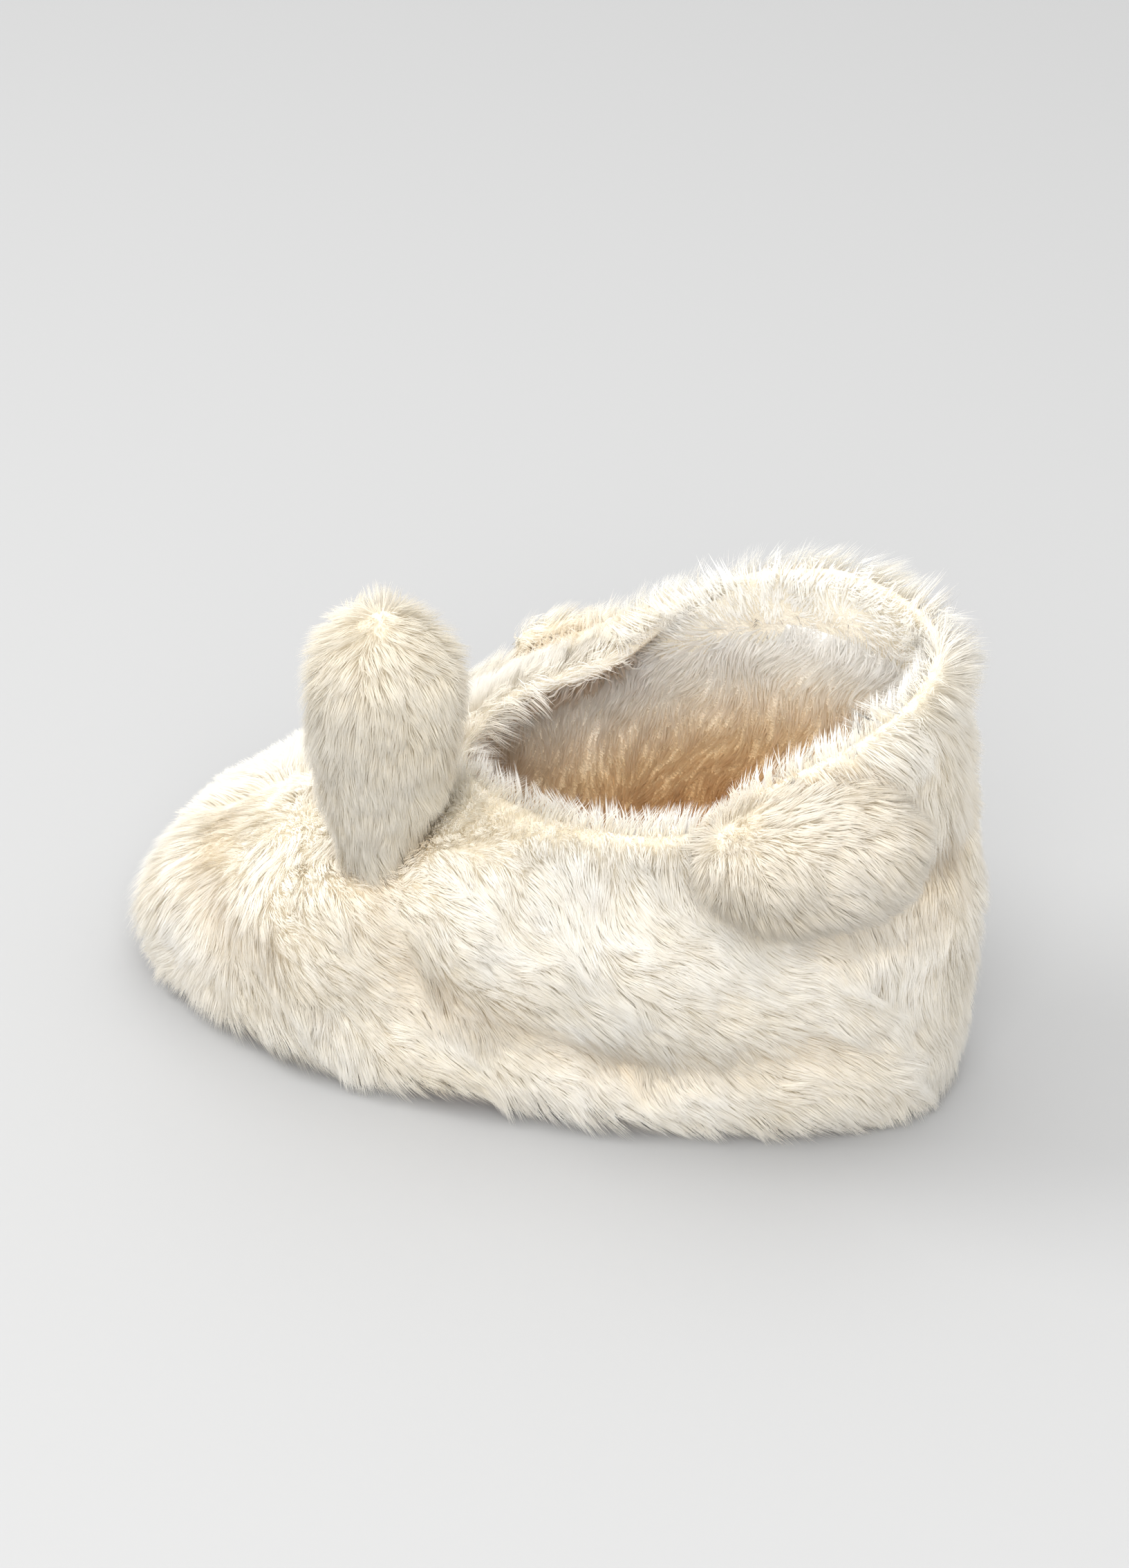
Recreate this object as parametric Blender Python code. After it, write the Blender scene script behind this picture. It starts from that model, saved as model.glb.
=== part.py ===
"""A child's plush animal slipper: padded fur upper on a soft suede sole, with two long ears and a tail.

The slipper is a left shoe. +Y points to the toe, +Z up and -X to the outer side, and it stands on the floor
at z = 0 under the middle of its box. Lengths are in metres, and the tables hold shares of the named sizes.
"""

import functools
import math
import random

import bmesh
import bpy
from mathutils import Vector
from mathutils.bvhtree import BVHTree

# The last: the outside of the upper's wall, under the fur
LENGTH = 0.190
BALL_WIDTH = 0.095
INSTEP_HEIGHT = 0.069
SIDE_HEIGHT = 0.071
HEEL_HEIGHT = 0.106

# The collar's opening, between the outsides of the rim
COLLAR_LENGTH = 0.105
COLLAR_WIDTH = 0.068
HEEL_LEAN = 0.008

# The wall: plush backing, padding and fleece lining
WALL = 0.004
TUCK = 0.003
EDGE_LIFT = 0.0032

# The sole and the insole
OUTSOLE_THICKNESS = 0.006
INSOLE_THICKNESS = 0.004
SOLE_EDGE = 0.0015
ARCH_LIFT = 0.0022
TOE_SPRING = 0.0055
CLEARANCE = 0.0003

# Soft creases of the upper's sides
CREASE_HEIGHT = 0.020
CREASE_WIDTH = 0.0045
CREASE_DEPTH = 0.0030
VALLEY_HEIGHT = 0.036
VALLEY_REACH = 0.013
VALLEY_WIDTH = 0.0085
VALLEY_DEPTH = 0.0036

# The fur's locks
LOCK_HEIGHT = 0.0050
LOCK_LEAN = 0.0052
EAR_LOCK_LEAN = 0.0026
RIM_LOCK_HEIGHT = 0.0036
FLOOR_MARGIN = 0.0010
SEAT_CLEARANCE = 0.0012
BARE_MARGIN = 0.0078

# The shortest and the tallest lock, as shares of the locks' height
WALL_LOCKS = (0.70, 1.10)
RIM_LOCKS = (0.60, 1.00)
EAR_LOCKS = (0.55, 0.95)
LOBE_LOCKS = (0.60, 1.05)

# How far the wall's fur lies back as a share of how far it lies down, and how far up a lobe it starts
COMB_BACK = 0.5
LOBE_FUR_START = 0.3

# Ears and tail, under their fur
EAR_LENGTH = 0.061
EAR_WIDTH = 0.029
EAR_THICKNESS = 0.021
FLOPPED_EAR_LENGTH = 0.060
FLOPPED_EAR_THICKNESS = 0.010
TAIL_LENGTH = 0.039
TAIL_WIDTH = 0.027
TAIL_THICKNESS = 0.016

# How finely the surfaces are divided
STATIONS = 68
WALL_ROWS = 15
LINING_ROWS = 7
EAR_ROWS = 11
EAR_SIDES = 18
LOBE_ROWS = 12
LOBE_SIDES = 20
SOLE_STATIONS = 30
MERIDIAN_STEPS = 90
RUN_STEPS = 40
SEAT_STEPS = 12

# Small steps from which the wall's and the runs' directions are taken, in radians, shares and metres
ANGLE_STEP = 0.02
UP_STEP = 0.03
RUN_STEP = 0.002
SHARP_ANGLE = math.radians(38)

# How far round from the heel and the toe the sole's end sections lie, as a share of half a turn
SOLE_ENDS = 0.015

SEED = 7


def table(columns, *rows):
    """A table with named columns, kept column by column."""
    return {name: [row[i] for row in rows] for i, name in enumerate(columns)}


# Share of the length from heel to toe, and half widths as shares of the ball width
OUTLINE = table(
    ("share", "outer", "inner"),
    (0.00, 0.400, 0.400),
    (0.18, 0.440, 0.430),
    (0.40, 0.470, 0.450),
    (0.58, 0.492, 0.470),
    (0.70, 0.502, 0.498),
    (0.86, 0.492, 0.524),
    (1.00, 0.470, 0.540),
)
OUTLINE_FULLNESS = 0.76

# Share of the length, and how far the underside lifts off the floor as shares of the arch and the spring
UNDERSIDE = table(
    ("share", "arch", "spring"),
    (0.00, 0.0, 0.22),
    (0.06, 0.0, 0.0),
    (0.30, 0.0, 0.0),
    (0.44, 1.0, 0.0),
    (0.58, 0.0, 0.0),
    (0.78, 0.0, 0.0),
    (0.90, 0.0, 0.38),
    (1.00, 0.0, 1.0),
)

# Share of the way round from heel to toe: the height of the widest line as a share of the rim's height, the
# handles of the curve above it as shares of its chord, and the rim's slope in degrees
SECTIONS = table(
    ("share", "bulge", "rise", "lead", "slope"),
    (0.00, 0.34, 0.36, 0.30, 82),
    (0.20, 0.36, 0.38, 0.30, 76),
    (0.45, 0.38, 0.44, 0.30, 60),
    (0.65, 0.33, 0.54, 0.36, 26),
    (0.82, 0.27, 0.34, 0.42, 32),
    (1.00, 0.22, 0.18, 0.42, 36),
)

# Share of the way round from heel to throat, and how far the rim has left the side's height for the heel's,
# on the outer side, where the tail pulls it down, and on the inner side, and for the instep's
RIM = table(
    ("share", "outer", "inner", "instep"),
    (0.00, 0.90, 0.90, 0.0),
    (0.12, 0.68, 0.97, 0.0),
    (0.28, 0.40, 1.00, 0.0),
    (0.40, 0.09, 0.92, 0.0),
    (0.52, 0.0, 0.82, 0.0),
    (0.64, 0.0, 0.54, 0.10),
    (0.80, 0.0, 0.15, 0.50),
    (1.00, 0.0, 0.0, 1.0),
)

# Share of the length, and the depth of the low crease there
CREASE = table(
    ("share", "depth"),
    (0.10, 0.0),
    (0.30, 0.45),
    (0.50, 1.0),
    (0.85, 1.0),
    (0.97, 0.0),
)

# Where the upright fold lies, as a share of the length, and how it fades to the heel and the toe
VALLEY_SHARE = 0.605
VALLEY_FADE = 0.5

# Share of the ear's length from its seat, and its width and thickness as shares of the full ones
EAR = table(
    ("share", "width", "thickness"),
    (0.00, 0.46, 0.66),
    (0.16, 0.60, 0.78),
    (0.38, 0.90, 0.92),
    (0.62, 1.00, 1.00),
    (0.83, 0.92, 0.94),
    (0.95, 0.60, 0.62),
    (1.00, 0.26, 0.28),
)
EAR_SEAT_SHARE = 0.648
EAR_SEAT_ACROSS = 0.295
EAR_TILT = (-0.10, -0.07, 1.0)

# How wide the foot's inner ring is against the ear, how much of the ear's length keeps the wall bare round
# it, and the least that a seat's slope counts for in its clearance
EAR_FOOT_RING = 0.32
EAR_BARE_SHARE = 0.4
STEEPEST_SEAT = 0.3

# Share of a lying lobe's length, and its width and height as shares of the full ones
LOBE = table(
    ("share", "width", "height"),
    (0.00, 0.30, 0.30),
    (0.08, 0.62, 0.66),
    (0.28, 0.90, 0.94),
    (0.55, 1.00, 1.00),
    (0.80, 0.92, 0.90),
    (0.94, 0.60, 0.62),
    (1.00, 0.28, 0.30),
)

# Where the lying ear and the tail run on the wall: the way round, in turns from the heel over the outer
# side, and up the wall from its edge to its rim
FLOPPED_EAR_RUN = table(
    ("share", "turn", "up"),
    (0.00, 0.640, 0.58),
    (0.50, 0.755, 0.53),
    (1.00, 0.840, 0.51),
)
TAIL_RUN = table(
    ("share", "turn", "up"),
    (0.00, 0.245, 0.83),
    (0.50, 0.130, 0.80),
    (1.00, 0.005, 0.74),
)


def read(source, column, share):
    """One column at a share, on a smooth curve through its rows that never overshoots them."""
    xs, ys = source["share"], source[column]
    if share <= xs[0]:
        return ys[0]
    if share >= xs[-1]:
        return ys[-1]
    steps = [xs[i + 1] - xs[i] for i in range(len(xs) - 1)]
    slopes = [(ys[i + 1] - ys[i]) / steps[i] for i in range(len(steps))]
    tangents = [slopes[0]]
    for left, right in zip(slopes, slopes[1:]):
        level = left * right <= 0
        tangents.append(0.0 if level else 2 * left * right / (left + right))
    tangents.append(slopes[-1])
    i = max(k for k in range(len(steps)) if xs[k] <= share)
    u = (share - xs[i]) / steps[i]
    start = ys[i] * (1 + 2 * u) * (1 - u) ** 2 + ys[i + 1] * u * u * (3 - 2 * u)
    ends = tangents[i] * u * (1 - u) ** 2 - tangents[i + 1] * u * u * (1 - u)
    return start + steps[i] * ends


def round_share(angle):
    """How far an angle lies from the heel, 0, to the toe, 1. Angles run over the outer side first."""
    return (1 - math.cos(angle)) / 2


def outline(angle):
    """A point of the wall's widest line in plan."""
    share = round_share(angle)
    side = "outer" if math.sin(angle) >= 0 else "inner"
    half = BALL_WIDTH * read(OUTLINE, side, share)
    across = half * abs(math.sin(angle)) ** OUTLINE_FULLNESS
    x = -across if side == "outer" else across
    return Vector((x, (share - 0.5) * LENGTH, 0.0))


def outline_inset(angle, inset):
    """The widest line moved in by a distance."""
    along = outline(angle + ANGLE_STEP) - outline(angle - ANGLE_STEP)
    inward = Vector((along.y, -along.x, 0.0)).normalized()
    return outline(angle) + inward * inset


def underside_lift(share):
    """How far the sole's underside stands off the floor."""
    return ARCH_LIFT * read(UNDERSIDE, "arch", share) + TOE_SPRING * read(UNDERSIDE, "spring", share)


def rim(angle):
    """A point of the collar's rim."""
    share = round_share(angle)
    back = HEEL_LEAN - LENGTH / 2
    across = COLLAR_WIDTH / 2 * abs(math.sin(angle)) ** OUTLINE_FULLNESS
    side = "outer" if math.sin(angle) >= 0 else "inner"
    x = -across if side == "outer" else across
    height = SIDE_HEIGHT
    height += (HEEL_HEIGHT - SIDE_HEIGHT) * read(RIM, side, share)
    height += (INSTEP_HEIGHT - SIDE_HEIGHT) * read(RIM, "instep", share)
    return Vector((x, back + share * COLLAR_LENGTH, height))


@functools.cache
def meridian(angle):
    """Points evenly spaced up the wall at one angle, from its lower edge to the rim."""
    share = round_share(angle)
    wide, top = outline(angle), rim(angle)
    edge_height = EDGE_LIFT + underside_lift(share)
    bulge_height = top.z * read(SECTIONS, "bulge", share)
    points = []
    for i in range(MERIDIAN_STEPS // 3):
        down = 1 - i / (MERIDIAN_STEPS // 3)
        point = outline_inset(angle, TUCK * down**2)
        point.z = bulge_height + (edge_height - bulge_height) * down
        points.append(point)
    inward = Vector((top.x - wide.x, top.y - wide.y, 0.0))
    reach, climb = inward.length, top.z - bulge_height
    chord = math.hypot(reach, climb)
    slope = math.radians(read(SECTIONS, "slope", share))
    lead = chord * read(SECTIONS, "lead", share)
    handles = (
        (0.0, 0.0),
        (0.0, chord * read(SECTIONS, "rise", share)),
        (reach - lead * math.cos(slope), climb - lead * math.sin(slope)),
        (reach, climb),
    )
    for i in range(MERIDIAN_STEPS + 1):
        u = i / MERIDIAN_STEPS
        weights = ((1 - u) ** 3, 3 * u * (1 - u) ** 2, 3 * u * u * (1 - u), u**3)
        run = sum(w * h[0] for w, h in zip(weights, handles))
        up = sum(w * h[1] for w, h in zip(weights, handles))
        point = wide + inward * (run / reach)
        point.z = bulge_height + up
        points.append(point)
    return points


@functools.cache
def wall_lengths(angle):
    """The distance up the wall of each point of its meridian."""
    points = meridian(angle)
    lengths = [0.0]
    for a, b in zip(points, points[1:]):
        lengths.append(lengths[-1] + (b - a).length)
    return lengths


def plain_wall_point(angle, up):
    """The wall's outside without its creases, at a share of the way up from its edge to its rim."""
    points, lengths = meridian(angle), wall_lengths(angle)
    target = min(max(up, 0.0), 1.0) * lengths[-1]
    i = next(k for k in range(1, len(lengths)) if lengths[k] >= target - 1e-12)
    u = (target - lengths[i - 1]) / (lengths[i] - lengths[i - 1])
    return points[i - 1].lerp(points[i], u)


def wall_frame(angle, up):
    """Directions on the wall: up it, round it away from the heel's outer side, and out of it."""
    low, high = max(up - UP_STEP, 0.0), min(up + UP_STEP, 1.0)
    rise = (plain_wall_point(angle, high) - plain_wall_point(angle, low)).normalized()
    turn = 2 * ANGLE_STEP
    along = plain_wall_point(angle + turn, up) - plain_wall_point(angle - turn, up)
    outward = rise.cross(along).normalized()
    return rise, along.normalized(), outward


def hollow(distance, width):
    """A soft trough: 1 in its middle, fading out over its width."""
    return math.exp(-((distance / width) ** 2))


def wall_point(angle, up, inset=0.0):
    """The wall's outside with its creases, or a surface at an inset behind it."""
    point = plain_wall_point(angle, up)
    outward = wall_frame(angle, up)[2]
    share = point.y / LENGTH + 0.5
    sides = abs(math.sin(angle)) ** VALLEY_FADE
    crease = CREASE_DEPTH * read(CREASE, "depth", share)
    sunk = crease * hollow(point.z - CREASE_HEIGHT, CREASE_WIDTH)
    across_valley = hollow((share - VALLEY_SHARE) * LENGTH, VALLEY_WIDTH)
    up_valley = hollow(point.z - VALLEY_HEIGHT, VALLEY_REACH)
    sunk += VALLEY_DEPTH * sides * across_valley * up_valley
    return point - outward * (sunk + inset)


def ring_angle(row, station):
    """Stations stand half a step over in every other row, so that the locks don't line up."""
    return 2 * math.pi * (station + 0.5 * (row % 2)) / STATIONS


def add_ring(bm, points):
    return [bm.verts.new(p) for p in points]


def bridge(bm, below, above):
    """Quads between two rings with as many points, facing out on a wall whose rings run like its angles."""
    count = len(below)
    faces = []
    for j in range(count):
        k = (j + 1) % count
        faces.append(bm.faces.new((above[j], above[k], below[k], below[j])))
    return faces


def cap(bm, ring, centre):
    """Triangles from a ring to one point."""
    point = bm.verts.new(centre)
    for j in range(len(ring)):
        bm.faces.new((ring[j], ring[(j + 1) % len(ring)], point))


def raise_lock(bm, face, comb, height, lean):
    """Turns a quad into one lock of fur: a pyramid that leans the way the fur lies."""
    centre = face.calc_center_median()
    tip = centre + face.normal * height + comb * lean
    tip.z = max(tip.z, FLOOR_MARGIN)
    corners = list(face.verts)
    bm.faces.remove(face)
    point = bm.verts.new(tip)
    for a, b in zip(corners, corners[1:] + corners[:1]):
        bm.faces.new((a, b, point))


def material(name, colour, roughness):
    made = bpy.data.materials.new(name)
    made.use_nodes = True
    shader = made.node_tree.nodes["Principled BSDF"]
    shader.inputs["Base Color"].default_value = (*colour, 1.0)
    shader.inputs["Roughness"].default_value = roughness
    shader.inputs["Metallic"].default_value = 0.0
    made.diffuse_color = (*colour, 1.0)
    return made


def finish(bm, name, look):
    """Makes a named object of a finished mesh."""
    bmesh.ops.recalc_face_normals(bm, faces=bm.faces)
    mesh = bpy.data.meshes.new(name)
    bm.to_mesh(mesh)
    bm.free()
    mesh.shade_smooth()
    mesh.set_sharp_from_angle(angle=SHARP_ANGLE)
    mesh.materials.append(look)
    made = bpy.data.objects.new(name, mesh)
    bpy.context.scene.collection.objects.link(made)
    return made


def sole_layer(name, look, bottom, thickness, inset):
    """A slab with eased edges inside the wall's outline, which follows the underside's arch and spring."""
    bm = bmesh.new()
    rings = []
    for i in range(SOLE_STATIONS + 1):
        angle = math.pi * (SOLE_ENDS + (1 - 2 * SOLE_ENDS) * i / SOLE_STATIONS)
        left, right = outline_inset(angle, inset), outline_inset(2 * math.pi - angle, inset)
        base = bottom + underside_lift(round_share(angle))
        edge = min(SOLE_EDGE, (right.x - left.x) / 4, thickness / 3)
        steps = (
            (left, 1, 0.0),
            (left, 0, edge),
            (left, 0, thickness - edge),
            (left, 1, thickness),
            (right, -1, thickness),
            (right, 0, thickness - edge),
            (right, 0, edge),
            (right, -1, 0.0),
        )
        rings.append(
            add_ring(bm, [Vector((p.x + move * edge, p.y, base + rise)) for p, move, rise in steps])
        )
    for below, above in zip(rings, rings[1:]):
        bridge(bm, below, above)
    bm.faces.new(rings[0])
    bm.faces.new(rings[-1])
    return finish(bm, name, look)


def plain_wall_tree():
    """The wall's outside as the upper has it under its locks, for seating what lies on it."""
    bm = bmesh.new()
    rings = [
        add_ring(bm, [wall_point(ring_angle(i, j), i / WALL_ROWS) for j in range(STATIONS)])
        for i in range(WALL_ROWS + 1)
    ]
    for below, above in zip(rings, rings[1:]):
        bridge(bm, below, above)
    bmesh.ops.triangulate(bm, faces=bm.faces, quad_method="FIXED")
    tree = BVHTree.FromBMesh(bm)
    bm.free()
    return tree


def ear_axis():
    return Vector(EAR_TILT).normalized()


def ear_seat():
    """Where the standing ear's middle meets the vamp's outer shoulder, seen straight from above."""
    return Vector((-EAR_SEAT_ACROSS * BALL_WIDTH, (EAR_SEAT_SHARE - 0.5) * LENGTH, 0.0))


def ear_ring_offset(turn, width, thickness):
    """A point round the ear: its width runs along the shoe and its thickness across it."""
    axis = ear_axis()
    along = (Vector((0, 1, 0)) - axis * axis.y).normalized()
    across = axis.cross(along)
    return along * (math.cos(turn) * width / 2) + across * (math.sin(turn) * thickness / 2)


def standing_ear(tree, look, draw):
    """The ear that stands on the vamp's outer shoulder, its foot cut to the wall's curve."""
    axis = ear_axis()
    above = ear_seat() + axis * (2 * SIDE_HEIGHT)
    foot = tree.ray_cast(above, -axis)[0]

    def seat_height(offset):
        """How far along the axis the ear clears the wall at an offset from its middle."""
        place, normal = tree.ray_cast(above + offset, -axis)[:2]
        return (place - foot).dot(axis) + SEAT_CLEARANCE / max(normal.dot(axis), STEEPEST_SEAT)

    bm = bmesh.new()
    rings = []
    for i in range(EAR_ROWS + 1):
        share = i / EAR_ROWS
        width = EAR_WIDTH * read(EAR, "width", share)
        thickness = EAR_THICKNESS * read(EAR, "thickness", share)
        points = []
        for j in range(EAR_SIDES):
            turn = 2 * math.pi * (j + 0.5 * (i % 2)) / EAR_SIDES
            offset = ear_ring_offset(turn, width, thickness)
            low = seat_height(offset)
            points.append(foot + offset + axis * (low + (EAR_LENGTH - low) * share))
        rings.append(add_ring(bm, points))
    inner = []
    for j in range(EAR_SIDES):
        offset = ear_ring_offset(2 * math.pi * j / EAR_SIDES, EAR_WIDTH, EAR_THICKNESS) * EAR_FOOT_RING
        inner.append(foot + offset + axis * seat_height(offset))
    inner = add_ring(bm, inner)
    bridge(bm, inner, rings[0])
    cap(bm, inner, foot + axis * seat_height(Vector()))
    walls = [bridge(bm, below, up) for below, up in zip(rings, rings[1:])]
    cap(bm, rings[-1], foot + axis * (EAR_LENGTH + LOCK_HEIGHT / 2))
    bmesh.ops.recalc_face_normals(bm, faces=bm.faces)
    bm.normal_update()
    for face in [f for row in walls[1:] for f in row]:
        raise_lock(bm, face, -axis, LOCK_HEIGHT * draw.uniform(*EAR_LOCKS), EAR_LOCK_LEAN)
    return finish(bm, "ear_left", look)


def run_places(run):
    """A function that gives the point of a run on the wall at a distance along it from its middle."""
    places = []
    for k in range(RUN_STEPS + 1):
        share = k / RUN_STEPS
        places.append(wall_point(2 * math.pi * read(run, "turn", share), read(run, "up", share)))
    middle = len(places) // 2
    reach = [0.0]
    for a, b in zip(places, places[1:]):
        reach.append(reach[-1] + (b - a).length)

    def place(distance):
        target = min(max(reach[middle] + distance, 0.0), reach[-1])
        i = next(k for k in range(1, len(reach)) if reach[k] >= target - 1e-12)
        return places[i - 1].lerp(places[i], (target - reach[i - 1]) / (reach[i] - reach[i - 1]))

    return place


def lying_lobe(name, tree, look, draw, run, length, width, thickness):
    """A stuffed lobe that lies along a run on the wall, flat below and crowned above."""
    place = run_places(run)
    bm = bmesh.new()
    rings = []
    directions = []
    for i in range(LOBE_ROWS + 1):
        share = i / LOBE_ROWS
        distance = (share - 0.5) * length
        centre = place(distance)
        forward = (place(distance + RUN_STEP) - place(distance - RUN_STEP)).normalized()
        outward = tree.find_nearest(centre)[1]
        sideways = outward.cross(forward).normalized()
        directions.append(forward)
        points = []
        for j in range(LOBE_SIDES):
            turn = 2 * math.pi * (j + 0.5 * (i % 2)) / LOBE_SIDES
            offset = math.cos(turn) * width / 2 * read(LOBE, "width", share)
            crown = max(math.sin(turn), 0.0) * thickness * read(LOBE, "height", share)
            foot, normal = tree.find_nearest(centre + sideways * offset)[:2]
            points.append(foot + normal * (SEAT_CLEARANCE + crown))
        rings.append(add_ring(bm, points))
    walls = [bridge(bm, below, up) for below, up in zip(rings, rings[1:])]
    for ring in (rings[0], rings[-1]):
        centre = sum((v.co for v in ring), Vector()) / len(ring)
        cap(bm, ring, centre)
    bmesh.ops.recalc_face_normals(bm, faces=bm.faces)
    bm.normal_update()
    for row, forward in zip(walls, directions):
        for face in row:
            _, normal, _, height = tree.find_nearest(face.calc_center_median())
            if height > thickness * LOBE_FUR_START and face.normal.dot(normal) > 0.0:
                raise_lock(bm, face, forward, LOCK_HEIGHT * draw.uniform(*LOBE_LOCKS), EAR_LOCK_LEAN)
    return finish(bm, name, look)


def seated_on(face, centres, reach):
    """Whether a face of the wall lies under one of the pieces that are seated on it."""
    centre = face.calc_center_median() + face.normal * (LOCK_HEIGHT / 2)
    return any((centre - c).length < reach + BARE_MARGIN for c in centres)


def fur_upper(look, draw, seats):
    """The upper: one hollow wall, open at the collar and underneath, with its fur's locks fused on."""
    bm = bmesh.new()
    outside = [
        add_ring(bm, [wall_point(ring_angle(i, j), i / WALL_ROWS) for j in range(STATIONS)])
        for i in range(WALL_ROWS + 1)
    ]
    roll = []
    for j in range(STATIONS):
        angle = ring_angle(WALL_ROWS, j)
        rise, _, outward = wall_frame(angle, 1.0)
        roll.append(wall_point(angle, 1.0) + (rise - outward) * (WALL / 2))
    lining = [
        add_ring(
            bm,
            [wall_point(ring_angle(WALL_ROWS, j), 1 - i / LINING_ROWS, WALL) for j in range(STATIONS)],
        )
        for i in range(LINING_ROWS + 1)
    ]
    walls = [bridge(bm, below, above) for below, above in zip(outside, outside[1:])]
    roll = add_ring(bm, roll)
    brim = bridge(bm, outside[-1], roll)
    bridge(bm, roll, lining[0])
    for above, below in zip(lining, lining[1:]):
        bridge(bm, above, below)
    bridge(bm, lining[-1], outside[0])
    bmesh.ops.recalc_face_normals(bm, faces=bm.faces)
    bm.normal_update()
    for i, row in enumerate(walls):
        for j, face in enumerate(row):
            if any(seated_on(face, centres, reach) for centres, reach in seats):
                continue
            angle = ring_angle(i, j + 0.5)
            up = (i + 0.5) / WALL_ROWS
            rise, along, _ = wall_frame(angle, up)
            back = -along * math.sin(angle)
            comb = (back * COMB_BACK - rise).normalized()
            raise_lock(bm, face, comb, LOCK_HEIGHT * draw.uniform(*WALL_LOCKS), LOCK_LEAN)
    for face in brim:
        raise_lock(bm, face, Vector((0, 0, 1)), RIM_LOCK_HEIGHT * draw.uniform(*RIM_LOCKS), 0.0)
    bare = [face for row in walls for face in row if face.is_valid]
    bmesh.ops.triangulate(bm, faces=bare, quad_method="FIXED")
    return finish(bm, "upper", look)


def run_centres(run, length):
    """Places along the middle of a lobe that lies on a run, for keeping the wall bare under it."""
    place = run_places(run)
    return [place((k / SEAT_STEPS - 0.5) * length) for k in range(SEAT_STEPS + 1)]


def build():
    for old in list(bpy.data.objects):
        bpy.data.objects.remove(old)
    draw = random.Random(SEED)
    fur = material("cream_fur", (0.86, 0.80, 0.68), 0.95)
    ear_fur = material("ear_fur", (0.86, 0.81, 0.70), 0.95)
    tail_fur = material("tail_fur", (0.87, 0.82, 0.72), 0.95)
    suede = material("pink_suede", (0.72, 0.42, 0.36), 0.90)
    fleece = material("tan_fleece", (0.66, 0.52, 0.36), 0.95)

    inset = TUCK + WALL + CLEARANCE
    sole_layer("outsole", suede, 0.0, OUTSOLE_THICKNESS, inset)
    sole_layer("insole", fleece, OUTSOLE_THICKNESS + CLEARANCE, INSOLE_THICKNESS, inset)

    tree = plain_wall_tree()
    axis = ear_axis()
    foot = tree.ray_cast(ear_seat() + axis * (2 * SIDE_HEIGHT), -axis)[0]
    bare_ear = EAR_LENGTH * EAR_BARE_SHARE
    root_width = EAR_WIDTH * read(EAR, "width", EAR_BARE_SHARE / 2)
    seats = (
        ([foot + axis * (bare_ear * k / SEAT_STEPS) for k in range(SEAT_STEPS + 1)], root_width / 2),
        (run_centres(FLOPPED_EAR_RUN, FLOPPED_EAR_LENGTH - EAR_WIDTH / 2), EAR_WIDTH / 2),
        (run_centres(TAIL_RUN, TAIL_LENGTH - TAIL_WIDTH / 2), TAIL_WIDTH / 2),
    )
    fur_upper(fur, draw, seats)
    standing_ear(tree, ear_fur, draw)
    flopped = (FLOPPED_EAR_RUN, FLOPPED_EAR_LENGTH, EAR_WIDTH, FLOPPED_EAR_THICKNESS)
    lying_lobe("ear_right", tree, ear_fur, draw, *flopped)
    lying_lobe("tail", tree, tail_fur, draw, TAIL_RUN, TAIL_LENGTH, TAIL_WIDTH, TAIL_THICKNESS)

    pieces = list(bpy.data.objects)
    corners = [v.co for piece in pieces for v in piece.data.vertices]
    low = [min(c[k] for c in corners) for k in range(3)]
    high = [max(c[k] for c in corners) for k in range(3)]
    stand = bpy.data.objects.new("slipper", None)
    bpy.context.scene.collection.objects.link(stand)
    stand.location = (-(low[0] + high[0]) / 2, -(low[1] + high[1]) / 2, -low[2])
    for piece in pieces:
        piece.parent = stand
    bpy.context.view_layer.update()


build()
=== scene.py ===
import math

import bmesh
import bpy
import numpy as np
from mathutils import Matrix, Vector, kdtree, noise
from mathutils.bvhtree import BVHTree


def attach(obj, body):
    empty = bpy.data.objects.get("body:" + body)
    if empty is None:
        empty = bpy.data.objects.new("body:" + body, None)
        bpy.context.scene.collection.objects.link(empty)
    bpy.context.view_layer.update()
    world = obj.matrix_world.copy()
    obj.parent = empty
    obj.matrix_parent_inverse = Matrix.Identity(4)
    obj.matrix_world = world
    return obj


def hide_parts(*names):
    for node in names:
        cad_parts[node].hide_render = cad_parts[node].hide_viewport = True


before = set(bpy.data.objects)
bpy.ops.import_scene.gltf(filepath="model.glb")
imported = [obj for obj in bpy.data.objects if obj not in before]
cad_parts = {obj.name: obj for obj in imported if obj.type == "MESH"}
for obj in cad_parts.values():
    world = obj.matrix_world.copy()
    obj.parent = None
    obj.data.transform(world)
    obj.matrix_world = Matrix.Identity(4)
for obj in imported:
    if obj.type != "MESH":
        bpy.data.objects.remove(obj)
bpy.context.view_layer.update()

# Lengths are in metres and angles in radians. +Y is to the toe, +Z up and -X to the outer side.

# The camera: the photo's line of sight to this shoe
CAMERA_AT = (-0.608, -0.229, 0.462)
LOOK_AT = (0.003, -0.002, 0.055)
PHOTO_WIDTH, PHOTO_HEIGHT = 1633, 2268
FOCAL_IN_WIDTHS = 3.08
SENSOR = 36.0
NEAREST, FARTHEST = 0.02, 30.0

# Colours as the eye sees them, from 0 to 1
CREAM_LIGHT = (1.000, 0.998, 0.990)
CREAM = (0.996, 0.987, 0.962)
# Straw and tan also serve as the fur's painted shade in the creases and round the ears' and the tail's seats
STRAW = (0.988, 0.962, 0.908)
TAN = (0.950, 0.880, 0.765)
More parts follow.
